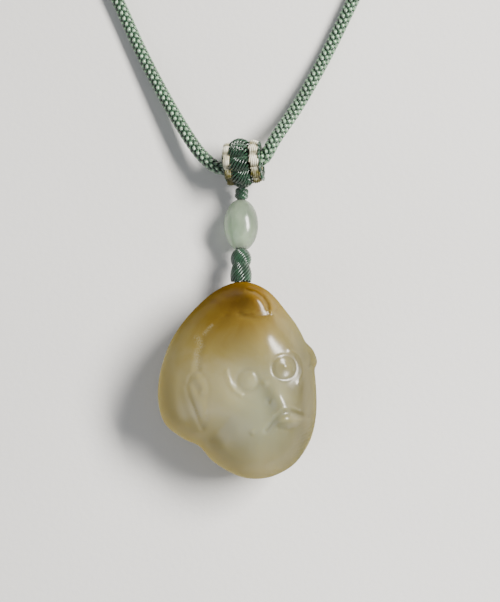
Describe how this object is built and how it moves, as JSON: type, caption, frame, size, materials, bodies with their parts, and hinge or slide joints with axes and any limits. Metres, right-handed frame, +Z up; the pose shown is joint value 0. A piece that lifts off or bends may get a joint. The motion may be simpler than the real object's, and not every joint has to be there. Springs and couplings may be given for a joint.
{
  "type": "jade monkey pendant on a neck cord",
  "caption": "Jade pebble carved as a monkey's head, hung by a knotted thread with a rice-shaped jade bead from a woven bail on a closed loop of round braided neck cord",
  "frame": {"origin": "on the surface that the pendant lies on, under the middle of the box of the head, its hanging line and the bail", "axes": "+Y from the chin along the hanging line to the bail and the neck cord, +Z up out of the surface through the carved face, +X to the face's own left-hand side as seen from above with the bail at the top"},
  "size_m": [0.1712, 0.2945, 0.0178],
  "materials": {
    "carved_jade": "polished translucent nephrite, honey-brown skin at the crown and pale grey-green below",
    "bead_jade": "polished translucent pale icy green jade",
    "green_thread": "waxed green polyester thread with a soft shine, wrapped and knotted",
    "cream_thread": "cream polyester thread with a silky shine, woven",
    "neck_cord": "sage-green polyester, round braid with shiny yarns"
  },
  "bodies": {
    "root": {"jade_monkey": "carved_jade", "jade_bead": "bead_jade", "hanging_thread": "green_thread", "lower_knot": "green_thread", "collar_knot": "green_thread", "bail_centre": "green_thread", "bail_rim_left": "green_thread", "bail_rim_right": "green_thread", "bail_left": "cream_thread", "bail_right": "cream_thread", "neck_cord": "neck_cord", "closing_knot": "neck_cord"}
  },
  "joints": []
}
